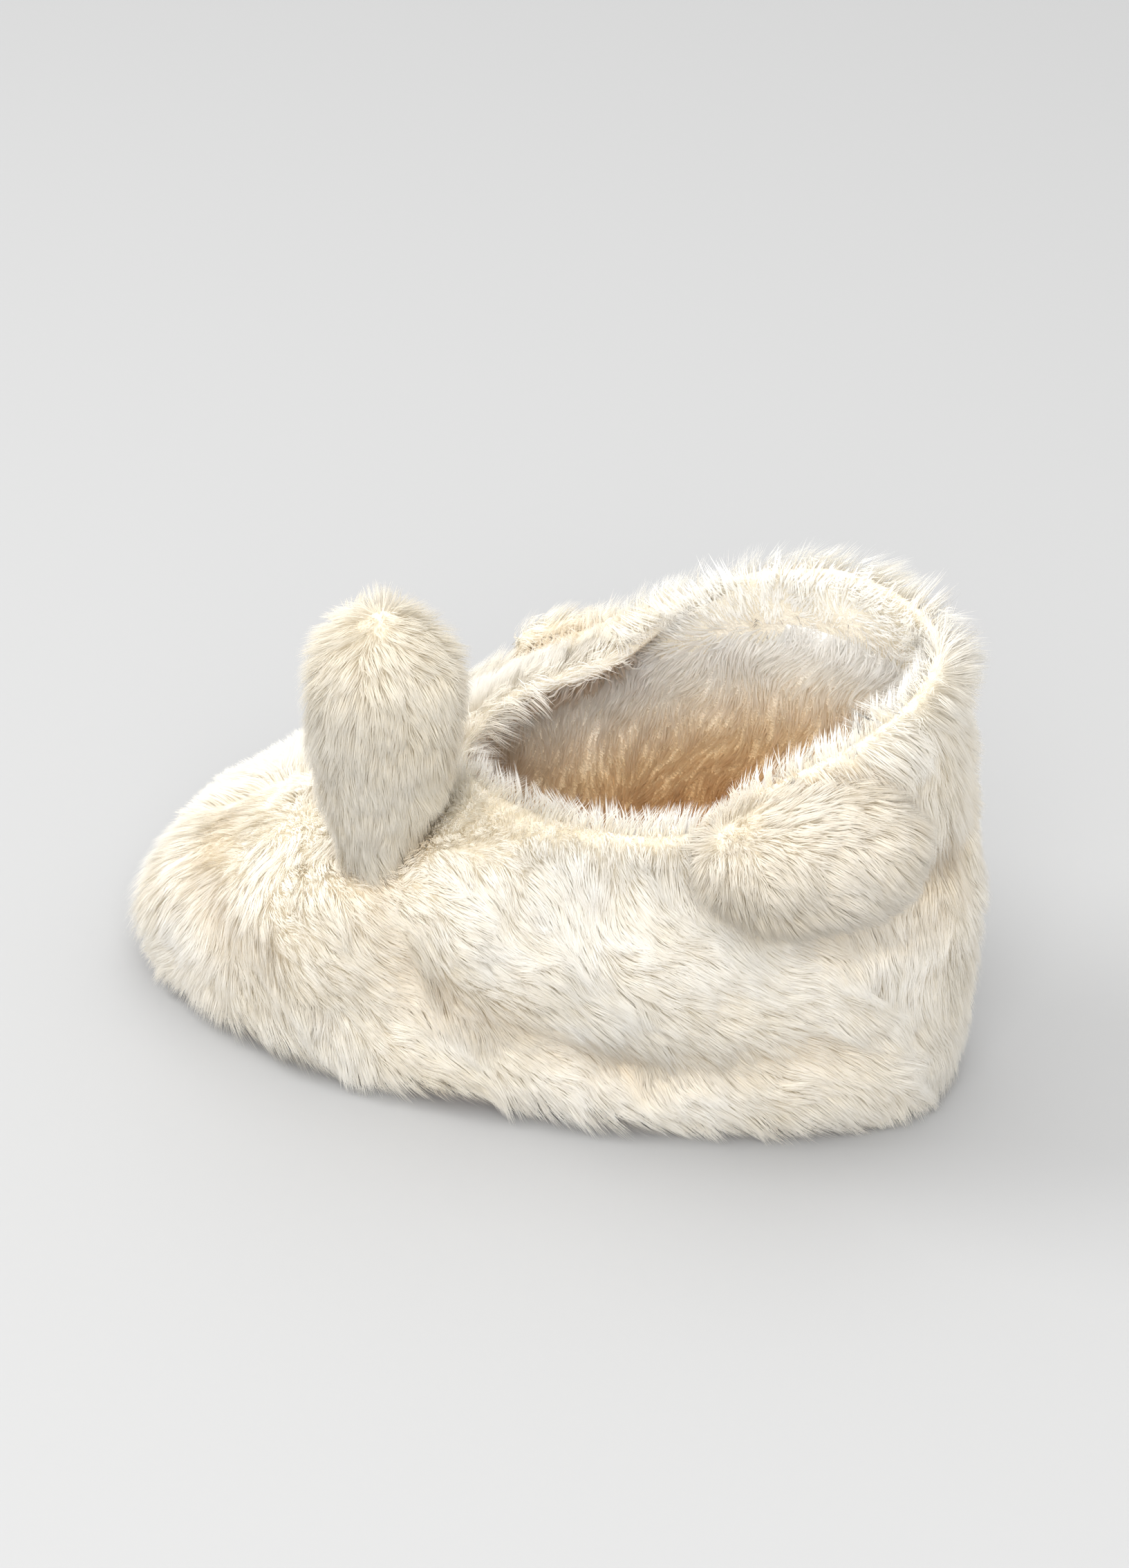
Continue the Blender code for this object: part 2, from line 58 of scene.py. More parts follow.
# The backing: the plush's cream, made darker than the pile as painted shade between its strands
SHADED_BACKING = ((0.850, 0.812, 0.735), (0.885, 0.855, 0.790), (0.905, 0.880, 0.825))
LINING_MOTTLE = ((0.930, 0.920, 0.900), (1.000, 1.000, 1.000))
PINK = (0.900, 0.690, 0.650)
PINK_DEEP = (0.800, 0.540, 0.500)
# The inside's painted shade: the tan deep below the collar's rim and on the footbed
FLEECE_SHADED = (0.940, 0.845, 0.690)
FLEECE_DEEP_SHADED = (0.900, 0.745, 0.540)

# Factors on a pile's colour: the fibre's mottle, and painted shade on the ears' and the tail's fur
FIBRE_MOTTLE = ((0.95, 0.94, 0.92), (1.0, 1.0, 1.0))
EAR_SHADE = np.array((0.95, 0.935, 0.90))
TAIL_SHADE = np.array((0.90, 0.88, 0.845))

# Taking the locks off a node: how near points are joined, how far a lock's tip stands out, and the
# widest angles across which two triangles are joined to a quad again
JOIN_WITHIN = 1e-5
LOCK_STANDS = 0.0018
FACE_ANGLE, SHAPE_ANGLE = math.radians(60), math.radians(70)

# Soft creases of the upper's outer side, seen from the side: from (y, z) to (y, z), half width and depth.
# A depth below nothing is a ridge.
CREASES = (
    ((0.026, 0.060), (0.016, 0.032), 0.0100, 0.0012),
    ((0.016, 0.032), (-0.030, 0.019), 0.0065, 0.0022),
    ((-0.030, 0.019), (-0.078, 0.026), 0.0055, 0.0018),
    ((-0.052, 0.071), (-0.096, 0.064), 0.0048, 0.0032),
    ((-0.068, 0.052), (-0.098, 0.056), 0.0045, 0.0018),
    ((0.072, 0.034), (0.052, 0.028), 0.0055, 0.0016),
    ((0.008, 0.050), (-0.040, 0.044), 0.0120, -0.0022),
)
DEEPEST_CREASE = 0.0032

# The line through the foot's room from which the upper's outer side faces away: its ends and height
FOOT_LINE = (-0.060, 0.055)
FOOT_LINE_HEIGHT = 0.026

# The collar: its middle along the shoe, the sectors in which its rim is measured, the inside's painted
# shade, cream at the rim and tan further below it, and from where the wall has the lining's material
COLLAR_MIDDLE = -0.034
RIM_SECTORS = 48
INNER_SHADES = (
    (0.000, CREAM_LIGHT),
    (0.014, CREAM_LIGHT),
    (0.024, CREAM),
    (0.044, FLEECE_SHADED),
    (0.060, FLEECE_DEEP_SHADED),
)
LINING_FROM = 0.016

# A strand: how its length and width vary, how deep it is rooted and how near it comes to the floor
LENGTH_SPREAD = (0.75, 1.15)
WIDTH_SPREAD = (0.7, 1.2)
ROOT_DEPTH = 0.0004
FLOOR_MARGIN = 0.0004
# Its lower half's share of the lean, its halves' lengths, and how far its middle and tip stray
LOWER_LEAN = 0.80
LOWER_HALF, UPPER_HALF = 0.50, 0.55
MIDDLE_STRAY, TIP_STRAY = 0.05, 0.12
# Its twist, its width at the middle, and its shading: how the normals stray and the tip's bends over
TWIST = 0.28
MIDDLE_WIDTH = 0.8
NORMAL_STRAY = 0.11
TIP_NORMAL_OUT, TIP_NORMAL_ALONG = 0.9, 0.18
MIDDLE_TONE = 0.55

# Locks: how the pull varies and its limit, the larger locks against the first, and the middle's pull
PULL_SPREAD = (0.6, 1.2)
MOST_PULL = 0.95
LARGER_LOCKS, LARGER_PULL = 2.6, 0.42
MIDDLE_PULL = 0.35

# They are wider to make up for the rest.
SHARE = 1.0

# Soft noise over the pile: wavelength, seed and strength
WARM_PATCHES = ((0.017, 2, 0.6), (0.006, 5, 0.4))
FUR_SWIRLS = ((0.020, 1, 0.95), (0.0085, 3, 0.85))
FUR_LENGTHS = (0.012, 4, 0.0018)
FUR_LEANS = (0.010, 6, 0.22)
FLEECE_TURNS = (0.012, 12, 0.6)
FLEECE_SWIRLS = (0.012, 8, 1.1)
FOOTBED_SWIRLS = (0.015, 9, 2.5)
FOOTBED_PATCHES = (0.010, 7, 0.3)

# The upper's fur: length, lean from upright, a strand's width and the seed
FUR_LENGTH = 0.0086
FUR_LEAN = 1.14
FUR_WIDTH = 0.00023
UPPER_SEED = 11
# Its stretches along the shoe: from y, to y and how many strands
FUR_STRETCHES = (
    ("heel", -math.inf, -0.042, 65000),
    ("waist", -0.042, 0.018, 64000),
    ("toe", 0.018, math.inf, 65000),
)
# It grows neither on faces that look down more than this nor below this height
LOOKS_DOWN = -0.75
FUR_FROM = 0.0035
# Its comb: from which y and over how much it turns forward at the toe and down at the heel, how strongly,
# and how far it lies down everywhere, more at the heel and at the toe, and to the side on top
TOE_FROM, TOE_OVER = 0.045, 0.03
HEEL_FROM, HEEL_OVER = -0.070, 0.02
TOE_TURN = 1.2
DOWN_EVERYWHERE, DOWN_AT_HEEL, DOWN_AT_TOE = 0.42, 0.5, 0.3
SIDEWAYS = 0.5
# Where ears and tail are seated: how far that reaches, how much shorter the fur is, and how much painted
# shade the fur gets there and in the creases
SEAT_REACH = 0.0045
SEAT_SHORTER = 0.0025
SEAT_SHADE, CREASE_SHADE = 0.75, 0.45
# The hem's height and its longer fur, and the brim's height and its more upright fur
HEM_HEIGHT, HEM_LONGER = 0.012, 0.0018
BRIM_HEIGHT, BRIM_UPRIGHT = 0.006, 0.40

# The fleece: strands, width, lean, lengths by how far below the rim, where it begins, how much denser it
# is near the rim, and how far below the rim it turns from over the brim to down
FLEECE_COUNT = 30000
FLEECE_WIDTH = 0.00040
FLEECE_LEAN = 1.18
FLEECE_LENGTHS = ((0.0, 0.012, 0.040), (0.0082, 0.0070, 0.0044))
FLEECE_FROM = 0.012
RIM_DENSER, RIM_REACH = 2, 0.020
TURNS_BELOW = 0.009
OVER_RISE = 0.02
FLEECE_DOWN = (0.0, 0.15, -1.0)
FLEECE_ROOT = 0.96

# The ears and the tail: the node, its piece, how many strands, the key of its fur's material and seed
LOBES = (
    ("ear_left", "ear_standing", 27000, "ear_fur", 21),
    ("ear_right", "ear_lying", 18000, "ear_fur", 22),
    ("tail", "tail", 22000, "tail_fur", 23),
)
EAR_COMBS = {"ear_left": (0.0, -0.25, -1.0), "ear_right": (0.0, -1.0, -0.25)}
TAIL_COMB = (0.2, -0.9, -0.7)
TAIL_SPREADS = 0.4
LOBE_LENGTH, LOBE_LEAN = 0.0072, 1.05
LOBE_SWIRL_SIZE, LOBE_SWIRL = 0.014, 0.9
LOBE_VARIES_SIZE, LOBE_VARIES = 0.010, 0.0014
EAR_TIP_UPRIGHT = 0.6

# The footbed's fleece
FOOTBED_SEED = 31
FOOTBED_COUNT = 9000
FOOTBED_LENGTH, FOOTBED_LEAN = 0.0042, 0.9
FOOTBED_LOOKS_UP = 0.5
FOOTBED_LIGHT = 1.1
FOOTBED_ROOT, FOOTBED_TIP = 0.8, 1.2

# Floor and light: each lamp's place, size and power
FLOOR_RADIUS, FLOOR_SIDES = 14.0, 96
FLOOR_HEIGHT = -0.0002
FLOOR_GREY = (0.335, 0.335, 0.335, 1)
STUDIO_GREY = (0.80, 0.80, 0.80, 1)
STUDIO_STRENGTH = 1.58
LAMPS = (
    ("key", (-0.30, 1.05, 1.35), 0.9, 17.0),
    ("fill", (-1.25, -0.45, 1.15), 1.2, 25.0),
    ("top", (0.3, 0.0, 1.8), 1.4, 8.0),
)
LAMPS_AIM = (0.0, 0.0, 0.04)


def linear(colour):
    """A display colour as the renderer's linear light."""
    return np.array([c / 12.92 if c <= 0.04045 else ((c + 0.055) / 1.055) ** 2.4 for c in colour])


def rows_of(vectors):
    return np.array([tuple(v) for v in vectors], dtype=float)


def unit(vectors):
    return vectors / np.maximum(np.linalg.norm(vectors, axis=1, keepdims=True), 1e-12)


def on_surface(vectors, normals):
    """Directions laid flat on the surface."""
    return unit(vectors - normals * (vectors * normals).sum(axis=1, keepdims=True))


def turned(vectors, normals, angles):
    """Directions on the surface turned about its normals."""
    c, s = np.cos(angles)[:, None], np.sin(angles)[:, None]
    return vectors * c + np.cross(normals, vectors) * s


def fade(distance, reach):
    """1 at no distance, fading out over the reach."""
    return np.exp(-((distance / reach) ** 2))


def waves(points, *layers):
    """Soft noise at each point: the sum of its layers' wavelength, seed and strength."""
    total = np.zeros(len(points))
    for size, seed, strength in layers:
        shift = Vector((seed * 3.1, seed * 1.7, seed * 2.3))
        total += np.array([noise.noise(Vector(p) / size + shift) for p in points]) * strength
    return total


def placed(name, data):
    """A new object in the scene."""
    made = bpy.data.objects.new(name, data)
    bpy.context.scene.collection.objects.link(made)
    return made


def aimed(made, place, aim):
    """Puts a camera or a lamp at a place, looking at another."""
    made.location = place
    made.rotation_mode = "QUATERNION"
    made.rotation_quaternion = (Vector(aim) - Vector(place)).to_track_quat("-Z", "Y")


def bare_form(node):
    """A node's surface with its locks taken off, so that the quads under them come back."""
    bm = bmesh.new()
    bm.from_mesh(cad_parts[node].data)
    bmesh.ops.remove_doubles(bm, verts=bm.verts, dist=JOIN_WITHIN)
    tips = []
    for v in bm.verts:
        if len(v.link_faces) != 4 or any(len(f.verts) != 3 for f in v.link_faces):
            continue
        ring = [e.other_vert(v).co for e in v.link_edges]
        middle = sum(ring, Vector()) / len(ring)
        if (v.co - middle).length > LOCK_STANDS:
            tips.append(v)
    bmesh.ops.dissolve_verts(bm, verts=tips)
    bmesh.ops.join_triangles(
        bm, faces=bm.faces, angle_face_threshold=FACE_ANGLE, angle_shape_threshold=SHAPE_ANGLE
    )
    bmesh.ops.recalc_face_normals(bm, faces=bm.faces)
    return bm


def skin(name, node, level):
    """A smooth piece made of a node's bare form."""
    bm = bare_form(node)
    mesh = bpy.data.meshes.new(name)
    bm.to_mesh(mesh)
    bm.free()
    mesh.shade_smooth()
    made = placed(name, mesh)
    rounder = made.modifiers.new("round", "SUBSURF")
    rounder.levels = rounder.render_levels = level
    settled = bpy.data.meshes.new_from_object(made.evaluated_get(bpy.context.evaluated_depsgraph_get()))
    made.modifiers.clear()
    made.data = settled
    settled.shade_smooth()
    return made


def surface_of(made):
    """A piece's places and normals, its triangles' corners and their areas."""
    mesh = made.data
    mesh.calc_loop_triangles()
    corners = np.empty(len(mesh.loop_triangles) * 3, dtype=np.int64)
    mesh.loop_triangles.foreach_get("vertices", corners)
    corners = corners.reshape(-1, 3)
    places = np.empty(len(mesh.vertices) * 3)
    mesh.vertices.foreach_get("co", places)
    places = places.reshape(-1, 3)
    normals = np.empty(len(mesh.vertices) * 3)
    mesh.vertices.foreach_get("normal", normals)
    normals = normals.reshape(-1, 3)
    a, b, c = (places[corners[:, k]] for k in range(3))
    areas = np.linalg.norm(np.cross(b - a, c - a), axis=1) / 2
    return places, normals, corners, areas


def scatter(made, count, keep, draw):
    """Seeded places on a piece's surface and the surface's normals there, where keep allows them."""
    count = int(count * SHARE)
    places, normals, corners, areas = surface_of(made)
    centres = places[corners].mean(axis=1)
    facing = unit(normals[corners].mean(axis=1))
    weights = areas * keep(centres, facing)
    chosen = draw.choice(len(areas), size=count, p=weights / weights.sum())
    u, v = draw.random(count), draw.random(count)
    over = u + v > 1
    u[over], v[over] = 1 - u[over], 1 - v[over]
    shares = np.stack([1 - u - v, u, v], axis=1)[:, :, None]
    at = (places[corners[chosen]] * shares).sum(axis=1)
    out = unit((normals[corners[chosen]] * shares).sum(axis=1))
    return at, out


def clumps(at, tips, spacing, pull, draw):
    """Draws the tips of neighbouring strands to their leader's, so that they end in locks."""
    cells = np.floor(at / spacing).astype(np.int64)
    _, first = np.unique(cells, axis=0, return_index=True)
    leaders = first[draw.permutation(len(first))]
    tree = kdtree.KDTree(len(leaders))
    for i, k in enumerate(leaders):
        tree.insert(at[k], i)
    tree.balance()
    lead = leaders[np.array([tree.find(p)[1] for p in at])]
    strength = (pull * draw.uniform(*PULL_SPREAD, len(at)))[:, None]
    return tips + (tips[lead] - tips) * np.clip(strength, 0, MOST_PULL), lead


def strands(name, at, out, comb, length, lean, width, look, tone, draw, spacing=0.0028, pull=0.45):
    """A pile of tapered strands joined in one mesh. tone gives a colour for the root and one for the tip."""
    count = len(at)
    length = (length * draw.uniform(*LENGTH_SPREAD, count))[:, None]
    lean = np.broadcast_to(lean, count)[:, None]
    stray = on_surface(draw.normal(size=(count, 3)), out)
    lower = out * np.cos(lean * LOWER_LEAN) + comb * np.sin(lean * LOWER_LEAN)
    middle = at + lower * length * LOWER_HALF + stray * length * MIDDLE_STRAY
    upper_half = (out * np.cos(lean) + comb * np.sin(lean)) * length * UPPER_HALF
    tips = middle + upper_half + stray * length * TIP_STRAY
    tips, lead = clumps(at, tips, spacing, pull, draw)
    tips, _ = clumps(at, tips, spacing * LARGER_LOCKS, pull * LARGER_PULL, draw)
    middle = middle + (middle[lead] - middle) * (pull * MIDDLE_PULL)
    root = at - out * ROOT_DEPTH
    across = turned(np.cross(out, comb), out, draw.uniform(-TWIST, TWIST, count))
    half = (width / SHARE ** 0.5 * draw.uniform(*WIDTH_SPREAD, count) / 2)[:, None] * across
    narrow = half * MIDDLE_WIDTH
    points = np.stack([root - half, root + half, middle - narrow, middle + narrow, tips], axis=1)
    points[:, :, 2] = np.maximum(points[:, :, 2], FLOOR_MARGIN)

    start = np.arange(count) * 5
    quads = np.stack([start, start + 2, start + 3, start + 1], axis=1)
    tris = np.stack([start + 2, start + 4, start + 3], axis=1)
    loops = np.concatenate([quads, tris], axis=1).reshape(-1)
    sizes = np.tile([4, 3], count)
    mesh = bpy.data.meshes.new(name)
    mesh.vertices.add(count * 5)
    mesh.vertices.foreach_set("co", points.reshape(-1))
    mesh.loops.add(len(loops))
    mesh.loops.foreach_set("vertex_index", loops)
    mesh.polygons.add(count * 2)
    mesh.polygons.foreach_set("loop_start", np.concatenate([[0], np.cumsum(sizes)[:-1]]))
    mesh.update(calc_edges=True)

    wander = stray * NORMAL_STRAY
    facing = unit(out + wander)
    bent = unit(out * TIP_NORMAL_OUT + comb * TIP_NORMAL_ALONG + wander)
    normals = np.stack([facing, facing, facing, facing, bent], axis=1).reshape(-1, 3)
    mesh.shade_smooth()
    mesh.normals_split_custom_set_from_vertices(normals.tolist())

    base, tip = tone
    blended = base * (1 - MIDDLE_TONE) + tip * MIDDLE_TONE
    colours = np.stack([base, base, blended, blended, tip], axis=1).reshape(-1, 3)
    painted_with(mesh, colours)
    mesh.materials.append(look)
    return placed(name, mesh)


def painted_with(mesh, colours):
    """Gives a mesh's points the colours that its material reads as tone."""
    layer = mesh.color_attributes.new("tone", "FLOAT_COLOR", "POINT")
    layer.data.foreach_set("color", np.hstack([colours, np.ones((len(colours), 1))]).reshape(-1))


def material(name, roughness, specular, sheen, sheen_roughness):
    """A new material, its nodes and links, its shader and a node of the object's own places."""
    made = bpy.data.materials.new(name)
    made.use_nodes = True
    nodes, links = made.node_tree.nodes, made.node_tree.links
    shader = nodes["Principled BSDF"]
    shader.inputs["Roughness"].default_value = roughness
    shader.inputs["Specular IOR Level"].default_value = specular
    shader.inputs["Sheen Weight"].default_value = sheen
    shader.inputs["Sheen Roughness"].default_value = sheen_roughness
    return made, nodes, links, shader, nodes.new("ShaderNodeTexCoord")


def noise_node(nodes, links, place, scale, detail):
    """Noise laid out over the object's own places."""
    made = nodes.new("ShaderNodeTexNoise")
    made.inputs["Scale"].default_value = scale
    made.inputs["Detail"].default_value = detail
    links.new(place.outputs["Object"], made.inputs["Vector"])
    return made


def ramp_over(nodes, links, spots, low, high, colours):
    """Two or three linear colours spread over a noise, from its low to its high places."""
    ramp = nodes.new("ShaderNodeValToRGB")
    ramp.color_ramp.elements[0].position = low
    ramp.color_ramp.elements[1].position = high
    ramp.color_ramp.elements[0].color = (*colours[0], 1)
    ramp.color_ramp.elements[1].color = (*colours[-1], 1)
    if len(colours) == 3:
        ramp.color_ramp.elements.new((low + high) / 2).color = (*colours[1], 1)
    links.new(spots.outputs["Fac"], ramp.inputs["Fac"])
    return ramp.outputs["Color"]


def times_tone(nodes, links, colour):
    """A colour multiplied by the mesh's painted tone."""
    tone = nodes.new("ShaderNodeAttribute")
    tone.attribute_name = "tone"
    mix = nodes.new("ShaderNodeMix")
    mix.data_type = "RGBA"
    mix.blend_type = "MULTIPLY"
    mix.inputs["Factor"].default_value = 1.0
    links.new(tone.outputs["Color"], mix.inputs["A"])
    links.new(colour, mix.inputs["B"])
    return mix.outputs["Result"]


def fibre(name, roughness, sheen):
    """Pile whose colour runs from root to tip, a little mottled, and which light shines through."""
    made, nodes, links, shader, place = material(name, roughness, 0.12, sheen, sheen_roughness=0.5)
    spots = noise_node(nodes, links, place, scale=260.0, detail=3.0)
    colour = times_tone(nodes, links, ramp_over(nodes, links, spots, 0.30, 0.62, FIBRE_MOTTLE))
    links.new(colour, shader.inputs["Base Color"])
    through = nodes.new("ShaderNodeBsdfTranslucent")
    links.new(colour, through.inputs["Color"])
    both = nodes.new("ShaderNodeMixShader")
    both.inputs["Fac"].default_value = 0.56
    links.new(shader.outputs["BSDF"], both.inputs[1])
    links.new(through.outputs["BSDF"], both.inputs[2])
    links.new(both.outputs["Shader"], nodes["Material Output"].inputs["Surface"])
    return made


def napped(name, colours, scale, bump, roughness, sheen, painted=False):
    """Backing, suede or fleece: two or three colours in soft patches, and a fine nap."""
    made, nodes, links, shader, place = material(name, roughness, 0.15, sheen, sheen_roughness=0.55)
    patches = noise_node(nodes, links, place, scale, detail=5.0)
    patches.inputs["Roughness"].default_value = 0.6
    colour = ramp_over(nodes, links, patches, 0.32, 0.68, [linear(c) for c in colours])
    if painted:
        colour = times_tone(nodes, links, colour)
    links.new(colour, shader.inputs["Base Color"])
    nap = noise_node(nodes, links, place, scale=1500.0, detail=4.0)
    relief = nodes.new("ShaderNodeBump")
    relief.inputs["Strength"].default_value = 0.55
    relief.inputs["Distance"].default_value = bump
    links.new(nap.outputs["Fac"], relief.inputs["Height"])
    links.new(relief.outputs["Normal"], shader.inputs["Normal"])
    return made


def shades(at, draw, painted_shade, shade_factor):
    """Root and tip colours of a pile: cream in warmer and lighter patches, turned to straw and tan by
    painted shade in the creases and round the ears' and the tail's seats.
    """
    patches_and_shade = np.clip(0.42 + waves(at, *WARM_PATCHES) * 0.9 + painted_shade, 0, 1)[:, None]
    streak = draw.uniform(-1, 1, len(at))[:, None]
    light, cream, straw, tan = (linear(c) for c in (CREAM_LIGHT, CREAM, STRAW, TAN))
    tip = light + (cream - light) * np.clip(patches_and_shade * 1.2 + streak * 0.25, 0, 1)
    root = cream + (straw - cream) * np.clip(0.55 + patches_and_shade * 0.7, 0, 1)
    root = root + (tan - root) * np.clip(painted_shade * 1.2, 0, 0.8)[:, None]
    tip = tip + (straw - tip) * np.clip(painted_shade * 0.9, 0, 0.7)[:, None]
    return root * shade_factor, tip * shade_factor


def outer_side(centres, facing):
    """Where the upper's wall faces out: away from a line through the foot's room."""
    along = np.clip(centres[:, 1], *FOOT_LINE)
    line = np.stack([np.zeros(len(centres)), along, np.full(len(centres), FOOT_LINE_HEIGHT)], axis=1)
    return ((centres - line) * facing).sum(axis=1) > 0


def nearness(at, form, reach):
    """How near places are to another piece: 1 where they touch it, fading out over the reach."""
    corners = rows_of(form.bound_box)
    close = ((at > corners.min(axis=0) - 3 * reach) & (at < corners.max(axis=0) + 3 * reach)).all(axis=1)
    tree = BVHTree.FromPolygons([v.co for v in form.data.vertices], [p.vertices for p in form.data.polygons])
    near = np.zeros(len(at))
    near[close] = fade(np.array([tree.find_nearest(Vector(p))[3] for p in at[close]]), reach)
    return near


def pressed(at):
    """How far the creases sink the upper's outer side at each place."""
    total = np.zeros(len(at))
    for start, end, width, depth in CREASES:
        start, end = np.array(start), np.array(end)
        along = end - start
        share = np.clip(((at[:, 1:] - start) @ along) / (along @ along), 0, 1)[:, None]
        gap = np.linalg.norm(at[:, 1:] - (start + share * along), axis=1)
        total += depth * fade(gap, width)
    return total * (at[:, 0] < 0)


def rim_turn(at):
    """Where places lie round the collar, in sectors."""
    return (np.arctan2(at[:, 0], at[:, 1] - COLLAR_MIDDLE) / math.tau + 0.5) * RIM_SECTORS


def rim_profile(at):
    """The collar's height in each sector."""
    sector_of = np.floor(rim_turn(at)) % RIM_SECTORS
    return np.array([at[sector_of == k, 2].max() for k in range(RIM_SECTORS)])


def below_rim(at, rim):
    """How far places lie below the collar's rim on their side."""
    height = np.interp(rim_turn(at) - 0.5, np.arange(RIM_SECTORS), rim, period=RIM_SECTORS)
    return np.maximum(height - at[:, 2], 0)


def inner_shade(down):
    """The inside's painted shade by how far below the rim it lies: cream, turning to tan."""
    stops, colours = zip(*INNER_SHADES)
    colours = np.array([linear(c) for c in colours])
    return np.stack([np.interp(down, stops, colours[:, k]) for k in range(3)], axis=1)


def flow(at, out):
    """How the upper's fur is combed: back along the sides and down, forward and down over the toe."""
    back = np.tile([0.0, -1.0, 0.0], (len(at), 1))
    down = np.tile([0.0, 0.0, -1.0], (len(at), 1))
    toe = np.clip((at[:, 1] - TOE_FROM) / TOE_OVER, 0, 1)[:, None]
    heel = np.clip((HEEL_FROM - at[:, 1]) / HEEL_OVER, 0, 1)[:, None]
    sinks = DOWN_EVERYWHERE + DOWN_AT_HEEL * heel + DOWN_AT_TOE * toe
    comb = back * (1 - TOE_TURN * toe) * (1 - heel) + down * sinks
    side = np.sign(at[:, 0])[:, None] * np.array([[1.0, 0.0, 0.0]])
    comb = comb + side * np.clip(out[:, 2], 0, 1)[:, None] * SIDEWAYS
    return turned(on_surface(comb, out), out, waves(at, *FUR_SWIRLS))


def stretch(low, high):
    """Keeps the upper's outer side from one y to another, without its underside."""
    def keep(centres, facing):
        under = (facing[:, 2] < LOOKS_DOWN) | (centres[:, 2] < FUR_FROM)
        within = (centres[:, 1] >= low) & (centres[:, 1] < high)
        return outer_side(centres, facing) & within & ~under
    return keep


def fleeced(rim):
    """Keeps the upper's inside, more of it near the rim."""
    def keep(centres, facing):
        near_rim = 1 + RIM_DENSER * fade(below_rim(centres, rim), RIM_REACH)
        return (~outer_side(centres, facing) & (centres[:, 2] > FLEECE_FROM)) * near_rim
    return keep


# The camera comes first
eye = bpy.data.cameras.new("camera")
eye.sensor_fit = "AUTO"
eye.sensor_width = SENSOR
eye.lens = FOCAL_IN_WIDTHS * SENSOR * PHOTO_WIDTH / PHOTO_HEIGHT
eye.clip_start, eye.clip_end = NEAREST, FARTHEST
camera = placed("camera", eye)
aimed(camera, CAMERA_AT, LOOK_AT)
bpy.context.scene.camera = camera
bpy.context.scene.view_settings.view_transform = "Standard"

# Materials
fur = fibre("cream_pile", roughness=0.75, sheen=0.25)
lobe_looks = {
    "ear_fur": fibre("ear_pile", roughness=0.75, sheen=0.25),
    "tail_fur": fibre("tail_pile", roughness=0.75, sheen=0.25),
}
fleece_fur = fibre("fleece_pile", roughness=0.85, sheen=0.10)
backing = napped("plush_backing", SHADED_BACKING, scale=90.0, bump=0.0006, roughness=0.95, sheen=0.10)
# The lining's mottle is multiplied by the inside's painted shade
lining = napped("fleece_backing", LINING_MOTTLE, 120.0, 0.0009, 0.95, 0.10, painted=True)
# The footbed's backing has the tan of the inside's painted shade
footing = napped("footbed_backing", (FLEECE_DEEP_SHADED, FLEECE_SHADED), 120.0, 0.0009, 0.95, 0.10)
suede = napped("pink_suede_nap", (PINK_DEEP, PINK), scale=55.0, bump=0.0003, roughness=0.88, sheen=0.35)

# The forms of the ears and the tail
forms = {}
for node, label, _, slot, _ in LOBES:
    form = skin(label + "_skin", node, 2)
    form.data.materials.append(backing)
    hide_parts(node)
    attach(form, "root")
    forms[node] = form

# The upper's skin, with its creases pressed in and painted shade on its inside, deepening below the rim
upper = skin("upper_skin", "upper", 1)
upper.data.materials.append(backing)
upper.data.materials.append(lining)
corners = rows_of([v.co for v in upper.data.vertices])
facing = rows_of([v.normal for v in upper.data.vertices])
sunk = corners - facing * (pressed(corners) * outer_side(corners, facing))[:, None]
upper.data.vertices.foreach_set("co", sunk.reshape(-1))
upper.data.update()
rim = rim_profile(sunk)
centres = rows_of([p.center for p in upper.data.polygons])
facing = rows_of([p.normal for p in upper.data.polygons])
inside = ~outer_side(centres, facing) & (below_rim(centres, rim) > LINING_FROM)
upper.data.polygons.foreach_set("material_index", inside.astype(np.int32))
painted_with(upper.data, inner_shade(below_rim(sunk, rim)))
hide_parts("upper")
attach(upper, "root")

# The upper's fur in three stretches along the shoe
draw = np.random.default_rng(UPPER_SEED)
for label, low, high, count in FUR_STRETCHES:
    at, out = scatter(upper, count, stretch(low, high), draw)
    comb = flow(at, out)
    seats = sum(nearness(at, form, SEAT_REACH) for form in forms.values())
    # Painted shade: the fur darkens towards straw and tan in the creases and round the ears' and the tail's
    # seats
    painted_shade = np.clip(pressed(at) / DEEPEST_CREASE * CREASE_SHADE + seats * SEAT_SHADE, 0, 1)
    hem = fade(at[:, 2], HEM_HEIGHT)
    brim = fade(below_rim(at, rim), BRIM_HEIGHT)
    length = FUR_LENGTH + waves(at, FUR_LENGTHS) - SEAT_SHORTER * np.clip(seats, 0, 1) + HEM_LONGER * hem
    lean = (FUR_LEAN + waves(at, FUR_LEANS)) * (1 - BRIM_UPRIGHT * brim)
    tone = shades(at, draw, painted_shade, 1.0)
    piece = strands("fur_" + label, at, out, comb, length, lean, FUR_WIDTH, fur, tone, draw)
    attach(piece, "root")

# The fleece on the upper's inside, which turns over the brim at the rim
at, out = scatter(upper, FLEECE_COUNT, fleeced(rim), draw)
down = below_rim(at, rim)
turns = TURNS_BELOW * (1 + waves(at, FLEECE_TURNS))
over = (1 - np.clip((down - turns) / TURNS_BELOW, 0, 1))[:, None]
away = unit(np.stack([at[:, 0], at[:, 1] - COLLAR_MIDDLE, np.full(len(at), OVER_RISE)], axis=1))
comb = on_surface(away * over + np.array([FLEECE_DOWN]) * (1 - over), out)
comb = turned(comb, out, waves(at, FLEECE_SWIRLS))
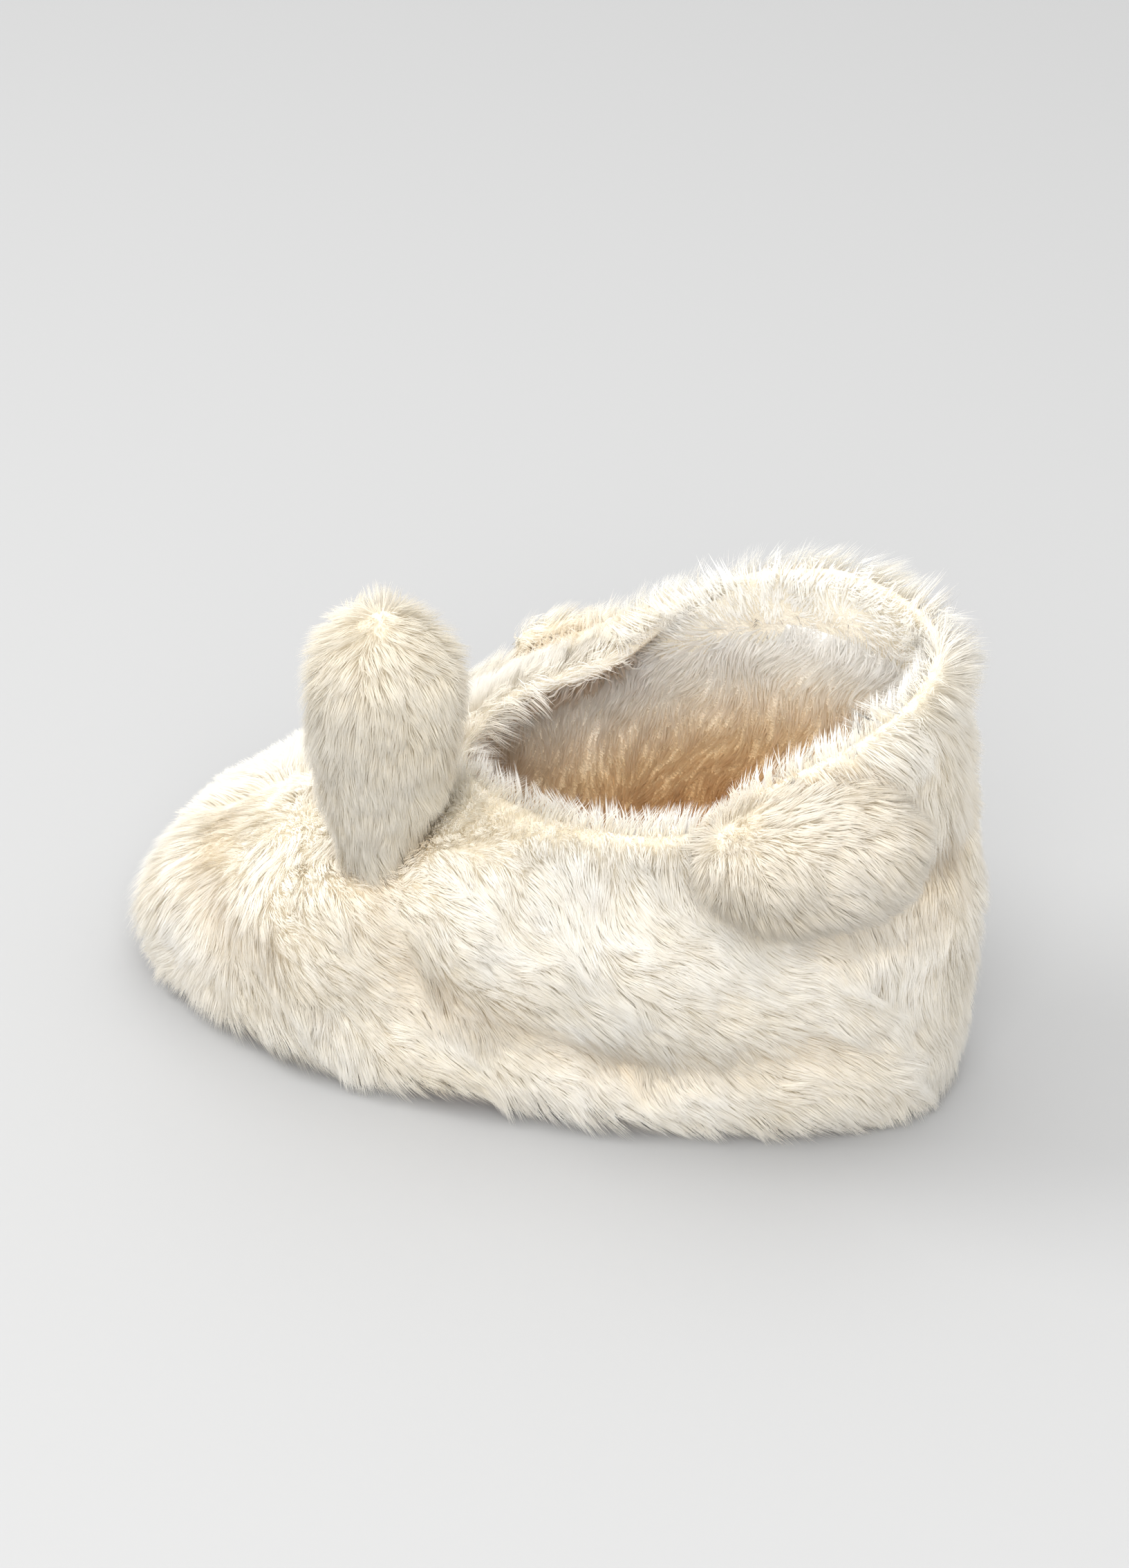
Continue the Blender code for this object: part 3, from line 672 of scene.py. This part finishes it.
# The fleece takes the inside's painted shade
base = inner_shade(down)
piece = strands(
    "fleece_inside", at, out, comb, np.interp(down, *FLEECE_LENGTHS), FLEECE_LEAN, FLEECE_WIDTH,
    fleece_fur, (base * FLEECE_ROOT, base), draw, spacing=0.0026, pull=0.4,
)
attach(piece, "root")

# The fur of the ears and the tail
for node, label, count, slot, seed in LOBES:
    draw = np.random.default_rng(seed)
    at, out = scatter(forms[node], count, lambda c, f: np.ones(len(c)), draw)
    if node in EAR_COMBS:
        comb = np.tile(EAR_COMBS[node], (len(at), 1))
    else:
        comb = unit(at - at.mean(axis=0)) * TAIL_SPREADS + np.array([TAIL_COMB])
    comb = on_surface(comb, out)
    comb = turned(comb, out, waves(at, (LOBE_SWIRL_SIZE, seed, LOBE_SWIRL)))
    length = LOBE_LENGTH + waves(at, (LOBE_VARIES_SIZE, seed + 1, LOBE_VARIES))
    lean = LOBE_LEAN - EAR_TIP_UPRIGHT * np.clip(out[:, 2], 0, 1) ** 3 * (node == "ear_left")
    # The ears' and the tail's fur is darkened by painted shade
    tone = shades(at, draw, np.zeros(len(at)), TAIL_SHADE if node == "tail" else EAR_SHADE)
    piece = strands(label + "_fur", at, out, comb, length, lean, FUR_WIDTH, lobe_looks[slot], tone, draw)
    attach(piece, "root")

# The footbed with its fleece, and the sole
draw = np.random.default_rng(FOOTBED_SEED)
footbed = skin("footbed", "insole", 2)
footbed.data.materials.append(footing)
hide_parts("insole")
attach(footbed, "root")
at, out = scatter(footbed, FOOTBED_COUNT, lambda c, f: f[:, 2] > FOOTBED_LOOKS_UP, draw)
comb = on_surface(np.tile([0.0, 1.0, 0.0], (len(at), 1)), out)
comb = turned(comb, out, waves(at, FOOTBED_SWIRLS))
# The footbed's fleece has the tan of the inside's deepest painted shade
base = np.tile(linear(FLEECE_DEEP_SHADED), (len(at), 1)) * (FOOTBED_LIGHT + waves(at, FOOTBED_PATCHES))[:, None]
piece = strands(
    "footbed_fleece", at, out, comb, FOOTBED_LENGTH, FOOTBED_LEAN, FLEECE_WIDTH,
    fleece_fur, (base * FOOTBED_ROOT, base * FOOTBED_TIP), draw, spacing=0.0026, pull=0.6,
)
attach(piece, "root")
sole = skin("sole_suede", "outsole", 2)
sole.data.materials.append(suede)
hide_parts("outsole")
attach(sole, "root")

# Floor and light
ground = bmesh.new()
bmesh.ops.create_circle(ground, cap_ends=True, segments=FLOOR_SIDES, radius=FLOOR_RADIUS)
mesh = bpy.data.meshes.new("floor")
ground.to_mesh(mesh)
ground.free()
floor = placed("floor", mesh)
floor.location = (0, 0, FLOOR_HEIGHT)
plain = bpy.data.materials.new("floor_grey")
plain.use_nodes = True
plain.node_tree.nodes["Principled BSDF"].inputs["Base Color"].default_value = FLOOR_GREY
plain.node_tree.nodes["Principled BSDF"].inputs["Roughness"].default_value = 0.8
plain.node_tree.nodes["Principled BSDF"].inputs["Specular IOR Level"].default_value = 0.2
mesh.materials.append(plain)

world = bpy.data.worlds.new("studio")
world.use_nodes = True
world.node_tree.nodes["Background"].inputs["Color"].default_value = STUDIO_GREY
world.node_tree.nodes["Background"].inputs["Strength"].default_value = STUDIO_STRENGTH
bpy.context.scene.world = world

for name, place, size, power in LAMPS:
    light = bpy.data.lights.new(name, "AREA")
    light.shape = "DISK"
    light.size = size
    light.energy = power
    aimed(placed(name, light), place, LAMPS_AIM)
